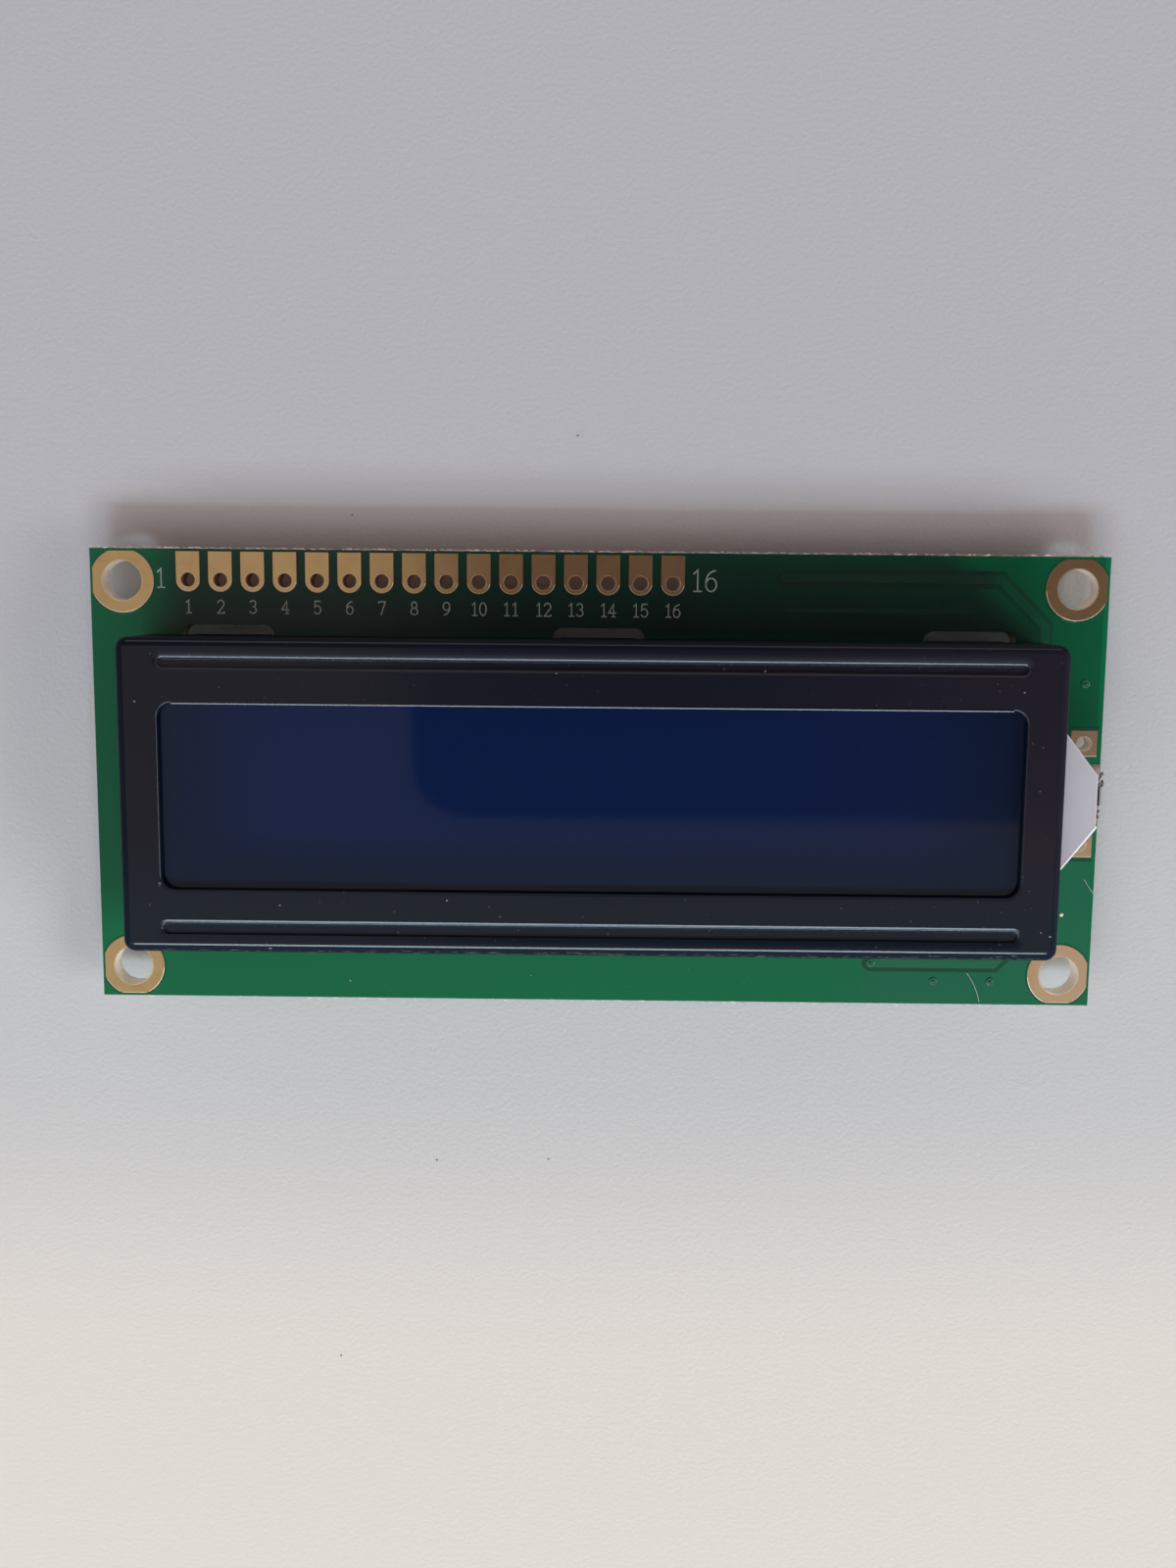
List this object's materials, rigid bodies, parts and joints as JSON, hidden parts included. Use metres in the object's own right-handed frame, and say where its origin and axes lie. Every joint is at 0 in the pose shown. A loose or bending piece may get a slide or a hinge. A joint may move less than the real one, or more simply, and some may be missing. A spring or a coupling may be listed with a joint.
{
  "type": "character lcd module",
  "caption": "Flat display module: a dark blue liquid crystal window in a black folded bezel, clamped on a green circuit board with a plated header row.",
  "frame": {"origin": "centre of the four mounting holes, on the back face of the circuit board", "axes": "+X along the board to the right of someone who reads the display, +Y towards the header row, +Z out of the display"},
  "size_m": [0.08, 0.036, 0.0107],
  "materials": {
    "green_mask": "glossy green solder mask over copper and glass fibre board",
    "gold_plating": "thin dull gold plating on copper",
    "black_paint": "satin black paint on folded steel sheet",
    "dark_film": "smooth dark blue polarizer film",
    "cell_glass": "clear float glass",
    "rear_film": "smooth grey polarizer film",
    "plug_resin": "cured amber resin",
    "strip_rubber": "layered silicone rubber",
    "white_moulding": "matt white moulded plastic",
    "white_film": "smooth white reflecting film",
    "clear_acrylic": "clear moulded acrylic",
    "milky_film": "milky diffusing film",
    "lamp_body": "dark grey lamp package",
    "tinned_metal": "tin plated metal",
    "black_resin": "black potting resin with a soft gloss",
    "resistor_coat": "black coating on ceramic",
    "capacitor_ceramic": "tan fired ceramic"
  },
  "bodies": {
    "root": {"printed_board": "green_mask", "corner_rings": "gold_plating", "header_pads": "gold_plating", "supply_pads": "gold_plating", "lamp_pads": "gold_plating", "upper_contacts": "gold_plating", "lower_contacts": "gold_plating", "bezel_frame": "black_paint", "front_polarizer": "dark_film", "front_glass": "cell_glass", "rear_glass": "cell_glass", "rear_polarizer": "rear_film", "fill_port_plug": "plug_resin", "upper_connector_strip": "strip_rubber", "lower_connector_strip": "strip_rubber", "backlight_tray": "white_moulding", "reflector_sheet": "white_film", "light_guide": "clear_acrylic", "diffuser_sheet": "milky_film", "nose_film": "white_film", "backlight_lamp": "lamp_body", "lamp_leads": "tinned_metal", "controller_blob": "black_resin", "driver_blob": "black_resin", "chip_resistors": "resistor_coat", "resistor_ends": "tinned_metal", "chip_capacitors": "capacitor_ceramic", "capacitor_ends": "tinned_metal", "component_lands": "gold_plating", "bridge_pads": "gold_plating"}
  },
  "joints": []
}
